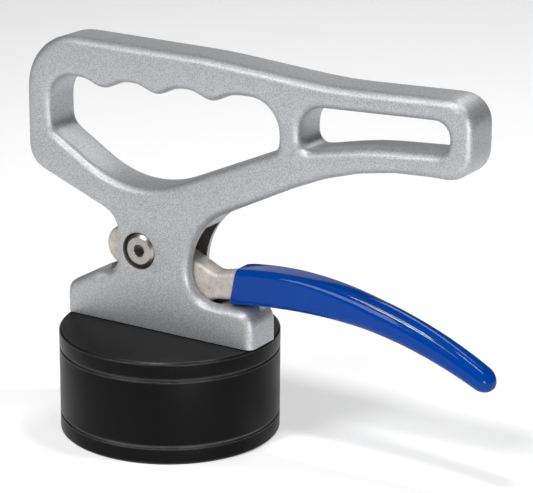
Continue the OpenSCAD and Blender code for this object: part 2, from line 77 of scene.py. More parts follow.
PLUNGER_X = (HEAD_LOW.x + HEAD_HIGH.x) / 2
FOOT_SCREW_X = (-30 * MM, 30 * MM)
DOWEL_X = (4 * MM, 16 * MM)
DOWEL_HOLE = 2.02 * MM
ROD_HOLE = 2.52 * MM
PAST = 1 * MM  # how far a cutter reaches past the face that it opens
FIT = 0.02 * MM  # room between pieces that fit into each other
SHELL_WALL = 3.5 * MM
SPIGOT_WALL = 1.75 * MM
PIVOT_HEAD = 2.1 * MM
HIDDEN_END = 6.9 * MM  # length of the lever's square end inside the grip's tip


# ---------------------------------------------------------------- sizes and colours


def length(name, text, size):
    return bpy.props.FloatProperty(name=name, description=text, default=size, min=0.0, unit="LENGTH")


def turn_angle(name, text, degrees):
    return bpy.props.FloatProperty(
        name=name, description=text, default=math.radians(degrees), subtype="ANGLE"
    )


def colour(name, text, value):
    return bpy.props.FloatVectorProperty(
        name=name, description=text, default=value, size=3, min=0.0, max=1.0, subtype="COLOR"
    )


class MagnetHolderSizes(bpy.types.PropertyGroup):
    cast_round: length("Cast Rounding", "Radius on the edges of the cast handle", 3.0 * MM)
    foot_gap: length("Foot Gap", "Height of the dark line under the foot", 0.25 * MM)
    lever_round: length("Lever Rounding", "Radius on the edges of the cast lever", 1.5 * MM)
    grip_round: length("Grip Rounding", "Radius on the edges of the vinyl grip where it starts", 2.2 * MM)
    grip_full: length("Grip Tip Rounding", "Radius on the edges of the vinyl grip near its tip", 5.8 * MM)
    grip_tip: length("Grip Tip", "Length of the grip's rounded tip", 5.0 * MM)
    groove: length("Groove", "Width of the fine grooves round the housing", 0.8 * MM)
    groove_depth: length("Groove Depth", "Depth of the fine grooves", 0.6 * MM)
    rim_chamfer: length("Rim Chamfer", "Chamfer on the housing's top rim", 0.7 * MM)
    head_bevel: length("Head Bevel", "Width of the polished ring on the pivot heads", 1.1 * MM)
    socket: length("Hexagon Socket", "Size of the pivot screw's socket across its flats", 4.0 * MM)


class MagnetHolderColours(bpy.types.PropertyGroup):
    silver: colour("Silver Coat", "Powder coat on the handle", (0.50, 0.505, 0.52))
    silver_dark: colour("Silver Grain", "Darker grains in the powder coat", (0.26, 0.265, 0.275))
    black: colour("Black Anodise", "Housing", (0.0022, 0.0020, 0.0023))
    nickel: colour("Nickel", "Plated casting of the lever", (0.60, 0.56, 0.53))
    nickel_dark: colour("Dull Nickel", "Dull patches on the lever", (0.36, 0.33, 0.305))
    vinyl: colour("Blue Vinyl", "Dipped grip", (0.0001, 0.040, 0.25))
    bright: colour("Bright Steel", "Pivot heads", (0.43, 0.41, 0.395))
    steel: colour("Steel", "Ground steel inside the housing", (0.42, 0.42, 0.43))
    bronze: colour("Bronze", "Bushes", (0.50, 0.31, 0.13))
    rubber: colour("Rubber", "Seals", (0.012, 0.012, 0.012))


class MagnetHolderStage(bpy.types.PropertyGroup):
    lens: length("Lens", "Focal length of the camera", 153.5 * MM)
    distance: length("Distance", "Camera's distance from the housing's axis", 791.4 * MM)
    azimuth: turn_angle("Azimuth", "Camera's turn round the holder", 31.63)
    elevation: turn_angle("Elevation", "Camera's height angle", 17.77)
    roll: turn_angle("Roll", "Camera's roll", 0.486)
    aim_right: length("Aim Right", "Picture centre to the right of the axis", 33.4 * MM)
    aim_up: length("Aim Up", "Picture centre above the contact face", 61.0 * MM)
    floor: colour("Floor", "Pale floor", (0.86, 0.86, 0.86))
    daylight: bpy.props.FloatProperty(
        name="Daylight", description="Strength of the even light all round", default=0.75, min=0.0
    )


# ---------------------------------------------------------------- shader writing


class Wire:
    """An output socket that takes part in plain arithmetic; each operation adds a Math node."""

    def __init__(self, paint, socket):
        self.paint = paint
        self.socket = socket

    def _math(self, operation, a, b):
        return self.paint.node("ShaderNodeMath", {"operation": operation}, {0: a, 1: b})

    def __add__(self, other):
        return self._math("ADD", self, other)

    __radd__ = __add__

    def __sub__(self, other):
        return self._math("SUBTRACT", self, other)

    def __rsub__(self, other):
        return self._math("SUBTRACT", other, self)

    def __mul__(self, other):
        return self._math("MULTIPLY", self, other)

    __rmul__ = __mul__

    def __lt__(self, other):
        return self._math("LESS_THAN", self, other)

    def above(self, low, high):
        """0 below low, 1 above high, and smooth between."""
        settings = {"interpolation_type": "SMOOTHSTEP"}
        return self.paint.node("ShaderNodeMapRange", settings, {0: self, 1: low, 2: high, 3: 0.0, 4: 1.0})


class NodeWriter:
    """Writes nodes into one tree. Every node but plain arithmetic comes from node()."""

    def __init__(self, tree):
        self.tree = tree

    def node(self, kind, settings=None, values=None, out=0):
        made = self.tree.nodes.new(kind)
        for key, value in (settings or {}).items():
            setattr(made, key, value)
        for key, value in (values or {}).items():
            if isinstance(value, Wire):
                self.tree.links.new(value.socket, made.inputs[key])
            else:
                made.inputs[key].default_value = value
        return Wire(self, made.outputs[out])


class Paint(NodeWriter):
    """One procedural material."""

    def __init__(self, name, **constants):
        self.material = bpy.data.materials.new(name)
        self.material.use_nodes = True
        super().__init__(self.material.node_tree)
        self.tree.nodes.clear()
        output = self.tree.nodes.new("ShaderNodeOutputMaterial")
        self.surface = self.tree.nodes.new("ShaderNodeBsdfPrincipled")
        self.tree.links.new(self.surface.outputs[0], output.inputs["Surface"])
        for socket, value in constants.items():
            self.surface.inputs[socket.replace("_", " ")].default_value = value

    def feed(self, socket, wire):
        self.tree.links.new(wire.socket, self.surface.inputs[socket])

    def place(self, scale=(1.0, 1.0, 1.0)):
        """Object coordinates in metres, stretched by scale."""
        spot = self.node("ShaderNodeTexCoord", out="Object")
        return self.node("ShaderNodeMapping", None, {"Vector": spot, "Scale": scale})

    def noise(self, size, detail=2.0, roughness=0.5, at=None):
        """Soft random value from 0 to 1 whose features are about size metres across."""
        values = {"Scale": 1.0 / size, "Detail": detail, "Roughness": roughness}
        values["Vector"] = at or self.place()
        return self.node("ShaderNodeTexNoise", None, values)

    def cells(self, size, out="Distance"):
        """Distance to the nearest of many points about size metres apart, or that point's own colour."""
        values = {"Scale": 1.0 / size, "Vector": self.place()}
        return self.node("ShaderNodeTexVoronoi", None, values, out)

    def rings_round(self, centre, across):
        """Distance from an axis through centre, along X; across is 1 for each direction off the axis."""
        spot = self.node("ShaderNodeVectorMath", {"operation": "SUBTRACT"}, {0: self.place(), 1: centre})
        flat = self.node("ShaderNodeVectorMath", {"operation": "MULTIPLY"}, {0: spot, 1: across})
        radius = self.node("ShaderNodeVectorMath", {"operation": "LENGTH"}, {0: flat}, "Value")
        return self.node("ShaderNodeCombineXYZ", None, {0: radius})

    def specks(self, spacing, radius, share_kept=0.3):
        """Sparse round dots: 1 in a dot, 0 elsewhere."""
        near = self.cells(spacing)
        luck = self.node("ShaderNodeSeparateColor", None, {0: self.cells(spacing, out="Color")})
        return (1.0 - near.above(0.6 * radius / spacing, radius / spacing)) * (luck < share_kept)

    def mix(self, factor, a, b):
        """Colour a where factor is 0 and colour b where it is 1."""
        ends = [end if isinstance(end, Wire) else (*end, 1.0) for end in (a, b)]
        return self.node("ShaderNodeMix", {"data_type": "RGBA"}, {0: factor, 6: ends[0], 7: ends[1]}, 2)

    def bump(self, height, depth, under=None):
        """Surface normal of a relief depth metres high, on top of another normal if there is one."""
        values = {"Height": height, "Distance": depth}
        if under is not None:
            values["Normal"] = under
        return self.node("ShaderNodeBump", None, values)

    def edge_mask(self, width, blunt=0.75):
        """About 1 within width of an edge and 0 on flats; a higher blunt also takes blunt edges."""
        soft = self.node("ShaderNodeBevel", {"samples": 4}, {"Radius": width})
        flat = self.node("ShaderNodeNewGeometry", out="Normal")
        alike = self.node("ShaderNodeVectorMath", {"operation": "DOT_PRODUCT"}, {0: soft, 1: flat}, "Value")
        return 1.0 - alike.above(blunt, 0.99)


def silver_coat(colours):
    """Fine sparkling powder coat over a casting, with a few dark pits."""
    paint = Paint("cast_silver_coat", Metallic=0.72, Specular_IOR_Level=0.4)
    grain = paint.noise(0.2 * MM, 1.0, 0.5)
    flakes = paint.node("ShaderNodeSeparateColor", None, {0: paint.cells(0.26 * MM, out="Color")})
    cloud = paint.noise(11.0 * MM, 3.0, 0.55)
    pits = paint.specks(6.5 * MM, 0.26 * MM, 0.13)
    tone = (grain * 0.9 + flakes * 0.5 + cloud * 0.06 - 0.22).above(0.05, 0.85)
    coat = paint.mix(tone, colours.silver_dark, colours.silver)
    paint.feed("Base Color", paint.mix(pits * 0.8, coat, (0.05, 0.048, 0.045)))
    paint.feed("Roughness", 0.40 + grain * 0.14 + pits * 0.3)
    peel = paint.noise(1.5 * MM, 2.0, 0.5)
    rough = paint.bump(grain * 0.6 + flakes * 0.3 + peel * 0.9, 0.045 * MM)
    paint.feed("Normal", paint.bump(1.0 - pits, 0.12 * MM, rough))
    return paint.material


def raw_casting_and_shade():
    """Very dark unfinished casting inside the lever's slot and the pivot's bore and recesses: partly bare
    casting, partly painted shade for these hollows.
    """
    paint = Paint("raw_casting_and_shade", Metallic=0.6)
    grain = paint.noise(0.7 * MM, 4.0, 0.65)
    cloud = paint.noise(5.0 * MM, 3.0, 0.6)
    # Painted shade: both tones are far darker than bare aluminium and stand in for the shadow inside the slot
    # and the pivot's hollows.
    paint.feed("Base Color", paint.mix(cloud * 0.6 + grain * 0.4, (0.016, 0.015, 0.015), (0.12, 0.115, 0.11)))
    paint.feed("Roughness", 0.55 + grain * 0.3)
    paint.feed("Normal", paint.bump(grain + cloud, 0.15 * MM))
    return paint.material


def black_anodise(colours):
    """Satin black anodised aluminium with faint turning lines, dust, a few hair scratches and lighter metallic
    edges that are partly wear and partly a painted glint.
    """
    paint = Paint("black_anodise", Specular_IOR_Level=0.08)
    grain = paint.noise(0.3 * MM, 2.0, 0.6)
    cloud = paint.noise(12.0 * MM, 3.0, 0.6)
    dust = paint.specks(3.6 * MM, 0.14 * MM, 0.1)
    smear = paint.noise(1.0, 2.0, 0.5, paint.place((300.0, 300.0, 9000.0)))
    lighter = tuple(1.8 * c + 0.001 for c in colours.black)
    base = paint.mix(cloud * 0.5 + grain * 0.35, colours.black, lighter)
    # Painted glint: the edge mask below turns the black lighter grey, half metallic and smoother on the rim
    # chamfer and the grooves. This is partly real edge wear and partly a painted glint.
    bright_edges = paint.edge_mask(0.9 * MM, 0.94)
    polished = paint.mix(bright_edges * (0.1 + cloud * 0.5), base, (0.22, 0.215, 0.21))
    paint.feed("Base Color", paint.mix(dust, polished, (0.10, 0.098, 0.095)))
    paint.feed("Metallic", bright_edges * 0.5)
    paint.feed("Roughness", 0.27 + cloud * 0.08 + grain * 0.10 + dust * 0.2 - bright_edges * 0.1)
    paint.feed("Normal", paint.bump(grain * 0.6 + smear * 0.3, 0.012 * MM))
    return paint.material


def nickel_casting(colours):
    """Warm grey plated casting: mottled, grainy, pitted, brighter along its worn edges."""
    paint = Paint("nickel_casting", Metallic=0.5)
    grain = paint.noise(0.55 * MM, 4.0, 0.7)
    patch = paint.noise(3.2 * MM, 4.0, 0.6)
    pits = paint.specks(2.6 * MM, 0.24 * MM, 0.28)
    bright_edges = paint.edge_mask(0.9 * MM)
    tone = (patch * 0.55 + grain * 0.5 + bright_edges * 0.25).above(0.33, 0.72)
    plate = paint.mix(tone, colours.nickel_dark, colours.nickel)
    paint.feed("Base Color", paint.mix(pits * 0.85, plate, (0.06, 0.045, 0.035)))
    paint.feed("Roughness", 0.46 + grain * 0.2 - bright_edges * 0.12)
    rough = paint.bump(grain + patch * 0.7, 0.07 * MM)
    paint.feed("Normal", paint.bump(1.0 - pits, 0.15 * MM, rough))
    return paint.material


def blue_vinyl(colours):
    """Glossy dipped vinyl with a faint wave and a few specks of dust."""
    paint = Paint("blue_vinyl", Specular_IOR_Level=0.13)
    cloud = paint.noise(14.0 * MM, 2.0, 0.5)
    dust = paint.specks(7.0 * MM, 0.15 * MM, 0.14)
    deeper = tuple(0.86 * c for c in colours.vinyl)
    base = paint.mix(cloud, deeper, colours.vinyl)
    paint.feed("Base Color", paint.mix(dust * 0.6, base, (0.35, 0.5, 0.75)))
    paint.feed("Roughness", 0.06 + cloud * 0.03 + dust * 0.4)
    paint.feed("Normal", paint.bump(dust, 0.004 * MM))
    return paint.material


def turned_metal(name, shade, rings, roughness, metallic=1.0, depth=0.01, wear=0.0, centre=None):
    """Turned or ground metal: fine lines across Z, or rings round a centre that faces along Y."""
    paint = Paint(name, Metallic=metallic)
    if centre:
        lines = paint.noise(rings, 3.0, 0.7, paint.rings_round(centre, (1.0, 0.0, 1.0)))
    else:
        lines = paint.noise(rings, 3.0, 0.7, paint.place((1.0, 1.0, 9.0)))
    cloud = paint.noise(4.0 * MM, 3.0, 0.6)
    darker = tuple(0.62 * c for c in shade)
    tone = lines * 0.6 + cloud * 0.5 - 0.05
    if wear:
        tone = tone + paint.edge_mask(wear)
    paint.feed("Base Color", paint.mix(tone.above(0.2, 0.8), darker, shade))
    paint.feed("Roughness", roughness + lines * 0.12 + cloud * 0.08)
    paint.feed("Normal", paint.bump(lines, depth * MM))
    return paint.material


def wear_disc_metal():
    """Brushed disc: concentric lathe lines crossed by the straight scratches of use."""
    paint = Paint("wear_disc_metal", Metallic=1.0)
    lines = paint.noise(0.25 * MM, 3.0, 0.7, paint.rings_round((0.0, 0.0, 0.0), (1.0, 1.0, 0.0)))
    scratches = paint.noise(1.0, 3.0, 0.6, paint.place((60.0, 4200.0, 1.0)))
    cross = paint.noise(1.0, 3.0, 0.6, paint.place((3600.0, 90.0, 1.0)))
    used = scratches.above(0.62, 0.78) + cross.above(0.66, 0.8)
    cloud = paint.noise(8.0 * MM, 3.0, 0.6)
    tone = (lines * 0.5 + cloud * 0.5).above(0.3, 0.75)
    paint.feed("Base Color", paint.mix(tone, (0.36, 0.355, 0.35), (0.6, 0.595, 0.59)))
    paint.feed("Roughness", 0.24 + cloud * 0.14 + used * 0.12)
    paint.feed("Normal", paint.bump(lines - used * 0.8, 0.012 * MM))
    return paint.material


def moulded_rubber(colours):
    """Matt black rubber with a fine moulded skin."""
    paint = Paint("moulded_rubber", Specular_IOR_Level=0.35)
    grain = paint.noise(0.25 * MM, 3.0, 0.6)
    bloom = paint.noise(5.0 * MM, 3.0, 0.6)
    lighter = tuple(2.6 * c for c in colours.rubber)
    paint.feed("Base Color", paint.mix(bloom, colours.rubber, lighter))
    paint.feed("Roughness", 0.55 + grain * 0.25)
    paint.feed("Normal", paint.bump(grain, 0.02 * MM))
    return paint.material


PAINTS = {}


def finish(name):
    """The finished material of that name, made the first time it is asked for."""
    colours = bpy.context.scene.magnet_holder_colours
    makers = {
        "silver": lambda: silver_coat(colours),
        "raw_and_shade": raw_casting_and_shade,
        "black": lambda: black_anodise(colours),
        "nickel": lambda: nickel_casting(colours),
        "vinyl": lambda: blue_vinyl(colours),
        "disc": wear_disc_metal,
        "rubber": lambda: moulded_rubber(colours),
        "bright": lambda: turned_metal("bright_head", colours.bright, 0.4 * MM, 0.2, centre=PIVOT),
        "steel": lambda: turned_metal("ground_steel", colours.steel, 0.3 * MM, 0.32),
        "magnet": lambda: turned_metal("plated_magnet", (0.68, 0.68, 0.69), 0.5 * MM, 0.18, depth=0.004),
        "spacer": lambda: turned_metal("machined_spacer", (0.72, 0.73, 0.74), 0.35 * MM, 0.3),
        "oxide": lambda: turned_metal(
            "black_oxide", (0.045, 0.043, 0.045), 0.3 * MM, 0.38, 0.7, wear=0.4 * MM
        ),
        "bronze": lambda: turned_metal("turned_bronze", colours.bronze, 0.3 * MM, 0.26),
        "spring": lambda: turned_metal("bright_wire", (0.56, 0.56, 0.58), 0.15 * MM, 0.22),
        "block": lambda: turned_metal(
            "hardened_block", (0.17, 0.145, 0.125), 0.4 * MM, 0.42, 0.8, wear=0.5 * MM
        ),
    }
    if name not in PAINTS:
        PAINTS[name] = makers[name]()
    return PAINTS[name]


# ---------------------------------------------------------------- outlines


def face_loops(node, at_y):
    """Closed loops of (x, z) points that bound a node's flat face at one Y, the longest first."""
    bm = bmesh.new()
    bm.from_mesh(NODES[node].data)
    bmesh.ops.remove_doubles(bm, verts=bm.verts, dist=1e-6)
    on_face = {f for f in bm.faces if all(abs(v.co.y - at_y) < 2e-6 for v in f.verts)}
    links = {}
    for edge in bm.edges:
        if sum(f in on_face for f in edge.link_faces) == 1:
            a, b = edge.verts
            links.setdefault(a, []).append(b)
            links.setdefault(b, []).append(a)
    loops = []
    while links:
        start = min(links, key=lambda v: (round(v.co.x, 6), round(v.co.z, 6)))
        ring, here, before = [], start, None
        while here is not None and here in links:
            ring.append(Vector((here.co.x, here.co.z)))
            onward = [v for v in links.pop(here) if v is not before and v in links]
            before, here = here, (onward[0] if onward else None)
        loops.append(ring)
    bm.free()
    return sorted(loops, key=run_length, reverse=True)


def run_length(ring):
    """Length once round a closed outline."""
    return sum((b - a).length for a, b in zip(ring, ring[1:] + ring[:1]))


def area(ring):
    """Signed area of a closed outline."""
    return sum(a.x * b.y - b.x * a.y for a, b in zip(ring, ring[1:] + ring[:1])) / 2.0


def resampled(ring, step):
    """The ring with points every step or so along it."""
    count = max(12, round(run_length(ring) / step))
    gap = run_length(ring) / count
    points, owed = [], 0.0
    for a, b in zip(ring, ring[1:] + ring[:1]):
        side = (b - a).length
        along = owed
        while along < side - 1e-12:
            points.append(a.lerp(b, along / side))
            along += gap
        owed = along - side
    return points[:count]


def eased(ring, passes):
    """The ring with its facets eased into curves."""
    for _ in range(passes):
        befores, afters = ring[-1:] + ring[:-1], ring[1:] + ring[:1]
        ring = [p * 0.5 + (b + a) * 0.25 for b, p, a in zip(befores, ring, afters)]
    return ring


def inward_normals(ring, solid_inside):
    """Unit normals in the outline's plane that point into the solid."""
    turn = 1.0 if (area(ring) > 0) == solid_inside else -1.0
    normals = []
    for before, after in zip(ring[-1:] + ring[:-1], ring[1:] + ring[:1]):
        way = (after - before).normalized()
        normals.append(Vector((-way.y, way.x)) * turn)
    return normals


def local_rounding(ring, normals, radius):
    """The rounding at each point: the full radius, or less where the outline turns too tightly for it."""
    limits = []
    count = len(ring)
    for i in range(count):
        before, after = ring[i - 1], ring[(i + 1) % count]
        bend = (normals[(i + 1) % count] - normals[i - 1]).dot((after - before).normalized())
        curve = -bend / max((after - before).length, 1e-9)
        limits.append(min(radius, 0.85 / curve) if curve > 1e-6 else radius)
    for order in (range(-count, count), range(count, -count, -1)):
        for i in order:
            here, back = i % count, (i - 1 if order.step > 0 else i + 1) % count
            limits[here] = min(limits[here], limits[back] + 0.35 * (ring[here] - ring[back]).length)
    return limits


# ---------------------------------------------------------------- meshes


def new_object(name, bm, material, smooth=True):
    """A mesh object from a bmesh, with outward normals and smooth shading."""
    bmesh.ops.recalc_face_normals(bm, faces=bm.faces)
    mesh = bpy.data.meshes.new(name)
    bm.to_mesh(mesh)
    bm.free()
    piece = bpy.data.objects.new(name, mesh)
    bpy.context.scene.collection.objects.link(piece)
    for slot_material in material if isinstance(material, list) else [material]:
        mesh.materials.append(slot_material)
    if smooth:
        mesh.shade_smooth()
    return piece


def bake_modifiers(piece):
    """Replaces a piece's mesh by what its modifiers make of it."""
    graph = bpy.context.evaluated_depsgraph_get()
    mesh = bpy.data.meshes.new_from_object(piece.evaluated_get(graph))
    piece.modifiers.clear()
    old = piece.data
    piece.data = mesh
    bpy.data.meshes.remove(old)


def carve(piece, cutters):
    """Cuts each cutter out of a piece."""
    for cutter in cutters:
        cutting = piece.modifiers.new("cut", "BOOLEAN")
        cutting.operation = "DIFFERENCE"
        cutting.solver = "EXACT"
        cutting.material_mode = "TRANSFER"
        cutting.object = cutter
    bake_modifiers(piece)
    for cutter in cutters:
        mesh = cutter.data
        bpy.data.objects.remove(cutter)
        bpy.data.meshes.remove(mesh)


def smooth_by_angle(piece, degrees):
    """Smooth shading that keeps edges sharper than an angle crisp."""
    piece.data.shade_smooth()
    bm = bmesh.new()
    bm.from_mesh(piece.data)
    for edge in bm.edges:
        if len(edge.link_faces) == 2:
            edge.smooth = edge.calc_face_angle(0.0) < math.radians(degrees)
    bm.to_mesh(piece.data)
    bm.free()
    return piece


def rounded_plate(bm, loops, half, radius, steps=6, middle=3):
    """Adds a plate in X and Z with quarter-round edges along every loop; the first loop is its outside."""
    flats = {-1: [], 1: []}
    for place, ring in enumerate(loops):
        normals = inward_normals(ring, place == 0)
        limits = local_rounding(ring, normals, radius)
        profile = []
        for side in (-1, 1):
            arc = [math.pi / 2 * k / steps for k in range(steps + 1)]
            arc = arc if side < 0 else arc[::-1]
            profile += [(side, a) for a in arc]
            if side < 0:
                profile += [(k, None) for k in range(1, middle)]
        rings = []
        for side, angle in profile:
            verts = []
            for p, n, r in zip(ring, normals, limits):
                if angle is None:
                    spot, y = p, (half - r) * (2.0 * side / middle - 1.0)
                else:
                    spot = p + n * r * (1.0 - math.sin(angle))
                    y = side * (half - r + r * math.cos(angle))
                verts.append(bm.verts.new((spot.x, y, spot.y)))
            rings.append(verts)
        for low, high in zip(rings, rings[1:]):
            for i in range(len(ring)):
                j = (i + 1) % len(ring)
                bm.faces.new((low[i], low[j], high[j], high[i]))
        flats[-1].append(rings[0])
        flats[1].append(rings[-1])
    for rims in flats.values():
        edges = [bm.edges.get((rim[i - 1], rim[i])) for rim in rims for i in range(len(rim))]
        bmesh.ops.triangle_fill(bm, use_beauty=True, use_dissolve=False, edges=edges)


def lathe(bm, profile, segments=96, axis="Z", centre=(0.0, 0.0, 0.0)):
    """Adds a closed solid of revolution from a closed profile of (radius, height) points, flat where it meets
    the axis."""
    turn = {"Z": Matrix.Identity(3), "Y": Matrix.Rotation(math.radians(90), 3, "X")}[axis]
    rings = []
    for radius, height in profile:
        ring = []
        for k in range(segments if radius > 1e-9 else 0):
            a = 2 * math.pi * k / segments
            point = Vector((radius * math.cos(a), radius * math.sin(a), height))
            ring.append(bm.verts.new(turn @ point + Vector(centre)))
        rings.append(ring)
    for low, high in zip(rings, rings[1:] + rings[:1]):
        if low and high:
            for k in range(segments):
                m = (k + 1) % segments
                bm.faces.new((low[k], low[m], high[m], high[k]))
        elif low or high:
            bm.faces.new(low or high)


def prism(bm, points, low, high):
    """Adds a closed prism: an outline of (x, z) points drawn out from low to high along Y."""
    near = [bm.verts.new((x, low, z)) for x, z in points]
    far = [bm.verts.new((x, high, z)) for x, z in points]
    bm.faces.new(near)
    bm.faces.new(far[::-1])
    for i in range(len(points)):
        j = (i + 1) % len(points)
        bm.faces.new((near[i], near[j], far[j], far[i]))


def cutter(build, *args, inside=None):
    """A shape to cut away; the cut faces take the inside material, or else the piece's own."""
    bm = bmesh.new()
    build(bm, *args)
    return new_object("cutter", bm, [inside] if inside else [], False)


def rod_cutter(x, radius, low, high):
    """An upright round hole at x, to cut away."""
    profile = [(0, low), (radius, low), (radius, high), (0, high)]
    return cutter(lathe, profile, 48, "Z", (x, 0.0, 0.0))


def hexagon(centre, across, turn):
    """Corners of a hexagon that measures across over its flats, turned by some degrees."""
    reach = across / 2 / math.cos(math.radians(30))
    angles = [math.radians(60 * k + turn) for k in range(6)]
    return [(centre[0] + reach * math.cos(a), centre[1] + reach * math.sin(a)) for a in angles]


def rounded_profile(corners, steps=4):
    """A profile of (radius, height) points from corners of (radius, height, rounding)."""
    points = []
    for i, (x, y, r) in enumerate(corners):
        at = Vector((x, y))
        if r <= 0:
            points.append(at)
            continue
        before = (Vector(corners[i - 1][:2]) - at).normalized()
        after = (Vector(corners[(i + 1) % len(corners)][:2]) - at).normalized()
        half = before.angle(after) / 2
        centre = at + (before + after).normalized() * r / math.sin(half)
        start, end = at + before * r / math.tan(half) - centre, at + after * r / math.tan(half) - centre
        turn = start.angle_signed(end)
        for k in range(steps + 1):
            spin = Matrix.Rotation(-turn * k / steps, 2)
            points.append(centre + spin @ start)
    return points


def hand_over(piece, body, slot, *nodes):
    """Puts a finished piece on its body and hides the nodes that it stands for; the slot is not used."""
    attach(piece, body)
    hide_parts(*nodes)


def repaint(node, material):
    """Gives a frame node its finished material."""
    mesh = NODES[node].data
    for place in range(len(mesh.materials)):
        mesh.materials[place] = material


# ---------------------------------------------------------------- operators


class MAGNETHOLDER_OT_handle(bpy.types.Operator):
    """Casts the handle: a plate with soft edges, cut for the lever's slot, the pivot and the screws"""

    bl_idname = "magnet_holder.handle"
    bl_label = "Cast Handle"

    def execute(self, context):
        sizes = context.scene.magnet_holder_sizes
        foot_z, face_y = HANDLE_LOW.z, HANDLE_LOW.y
        loops = face_loops("handle_frame", face_y)[:3]
        deep = foot_z - 12 * MM  # the rounding along the foot is made down here, then cut off
        loops[0] = [Vector((p.x, deep if p.y < foot_z + 1e-5 else p.y)) for p in loops[0]]
        rings = [eased(resampled(ring, 0.9 * MM), 4) for ring in loops]
        bm = bmesh.new()
        rounded_plate(bm, rings, HANDLE_HIGH.y, sizes.cast_round)
        foot_cut = foot_z + sizes.foot_gap
        geometry = bm.verts[:] + bm.edges[:] + bm.faces[:]
        cut = bmesh.ops.bisect_plane(
            bm, geom=geometry, dist=1e-7, plane_co=(0, 0, foot_cut), plane_no=(0, 0, -1), clear_outer=True
        )
        rim = [e for e in cut["geom_cut"] if isinstance(e, bmesh.types.BMEdge)]
        bmesh.ops.triangle_fill(bm, use_beauty=True, edges=rim)
        # The second material is the very dark raw casting, partly painted shade, which the cutters put in the
        # slot and the pivot's hollows.
        piece = new_object("handle_casting", bm, [finish("silver"), finish("raw_and_shade")])
        carve(piece, self.cutters())
        smooth_by_angle(piece, 35)
        hand_over(piece, "root", "cast_handle", "handle_frame")
        return {"FINISHED"}

    def cutters(self):
        """The lever's slot, the pivot's bore and recesses, and the holes in the foot."""
        bm = bmesh.new()
        bm.from_mesh(NODES["handle_frame"].data)
        inner = [v.co for v in bm.verts if abs(abs(v.co.y) - self.slot_half(bm)) < 2e-6]
        floor, half = min(p.z for p in inner), self.slot_half(bm)
        bm.free()
        block_room, step = 0.4 * MM, 5 * MM
        left = HEAD_LOW.x - block_room
        shoulder = max(p.z for p in inner if p.x < left + 1 * MM) + block_room
        roof = max(p.z for p in inner if p.x < PIVOT.x)
        open_left, open_right = left - 14 * MM, 36 * MM
        slot = [(left, floor), (left, shoulder), (open_left, shoulder), (open_left, roof)]
        slot += [(8 * MM, roof), (open_right, roof + 8 * MM), (open_right, floor + 9 * MM)]
        slot += [(12 * MM, floor + step), (12 * MM, floor)]
        sill = [(11.5 * MM, floor), (11.5 * MM, floor + step), (open_right, floor + 9.1 * MM)]
        sill += [(open_right, floor + 6.9 * MM), (24 * MM, floor + 4.1 * MM), (18 * MM, floor)]
        recess_gap, recess_deep, lip = 0.38 * MM, 2.2 * MM, 0.4 * MM
        face, bore = HANDLE_HIGH.y, (SCREW_HIGH.x - SCREW_LOW.x) / 2 + recess_gap
        seat = face - recess_deep
        barrel_hole = 4.28 * MM
        # The slot and the pivot's bore and recesses are lined with the very dark raw casting, which is partly
        # painted shade in these hollows.
        raw_and_shade = finish("raw_and_shade")
        cuts = [cutter(prism, slot, -half, half, inside=raw_and_shade), cutter(prism, sill, -half, half)]
        for side in (-1, 1):
            profile = [(0, seat * side), (bore, seat * side), (bore, (face - lip) * side)]
            profile += [(bore + lip * 0.35, (face - lip * 0.3) * side)]
            profile += [(bore + lip * 1.4, (face + lip * 0.4) * side), (0, (face + lip * 0.4) * side)]
            profile = [(r, -y) for r, y in profile]
            cuts.append(cutter(lathe, profile, 96, "Y", (PIVOT.x, 0, PIVOT.z), inside=raw_and_shade))
        profile = [(0, -face), (barrel_hole, -face), (barrel_hole, face), (0, face)]
        cuts.append(cutter(lathe, profile, 48, "Y", (PIVOT.x, 0, PIVOT.z), inside=raw_and_shade))
        spring_hole, spring_mouth, screw_hole = 4.7 * MM, 4.8 * MM, 3.02 * MM
        screw_deep, dowel_deep = 9.7 * MM, 6.2 * MM
        foot_z = HANDLE_LOW.z
        cuts.append(rod_cutter(PLUNGER_X, spring_hole, foot_z + 1.9 * MM, floor + PAST))
        cuts.append(rod_cutter(PLUNGER_X, spring_mouth, foot_z - PAST, foot_z + 2.5 * MM))
        for x in FOOT_SCREW_X:
            cuts.append(rod_cutter(x, screw_hole, foot_z - PAST, foot_z + screw_deep))
        for x in DOWEL_X:
            cuts.append(rod_cutter(x, DOWEL_HOLE, foot_z - PAST, foot_z + dowel_deep))
        return cuts

    @staticmethod
    def slot_half(bm):
        """Half the width of the slot: the commonest Y of the points inside the plate."""
        counts = {}
        for v in bm.verts:
            y = round(abs(v.co.y), 6)
            if 3.5 * MM < y < 5.5 * MM:
                counts[y] = counts.get(y, 0) + 1
        return max(counts, key=counts.get)


